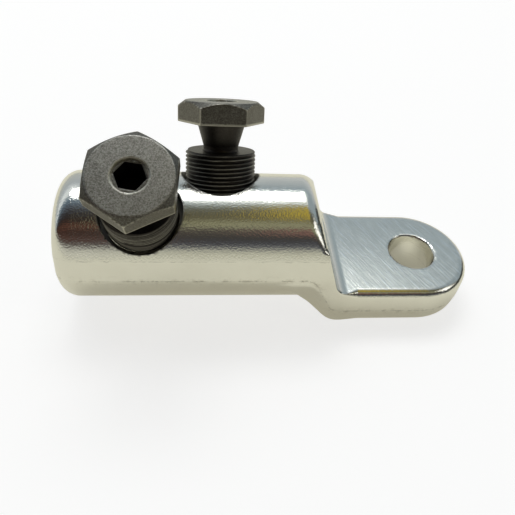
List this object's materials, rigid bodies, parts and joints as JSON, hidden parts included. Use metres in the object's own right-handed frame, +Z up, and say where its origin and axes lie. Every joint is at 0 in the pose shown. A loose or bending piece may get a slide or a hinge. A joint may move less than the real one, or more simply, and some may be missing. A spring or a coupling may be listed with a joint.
{
  "type": "shear bolt cable lug",
  "caption": "Round-barrelled cable lug with a blind conductor bore, slanted shear bolts with waisted necks and hexagon heads, and an offset round-ended palm with a stud hole.",
  "frame": {"origin": "centre of the palm hole on the contact face under the palm", "axes": "+X along the lug towards the palm's round end, with the barrel along -X; +Z up through the palm hole, from the contact face to the side that the bolts stand on"},
  "size_m": [0.1125, 0.0494, 0.056],
  "materials": {
    "tinned_aluminium": "bright tin plate, lightly scratched on the palm",
    "front_bolt_steel": "dark grey, matt and finely grained",
    "rear_bolt_steel": "dark grey, matt and finely grained"
  },
  "bodies": {
    "lug": {"lug_body": "tinned_aluminium"},
    "front_bolt": {"shear_bolt_front": "front_bolt_steel"},
    "rear_bolt": {"shear_bolt_rear": "rear_bolt_steel"}
  },
  "joints": [
    {"name": "front_bolt_drive", "type": "slide", "parent": "lug", "child": "front_bolt", "axis": [0, 0.4462, -0.8949], "range_m": [-0.001, 0.014]},
    {"name": "rear_bolt_drive", "type": "slide", "parent": "lug", "child": "rear_bolt", "axis": [0, -0.4462, -0.8949], "range_m": [-0.002, 0.013]}
  ]
}
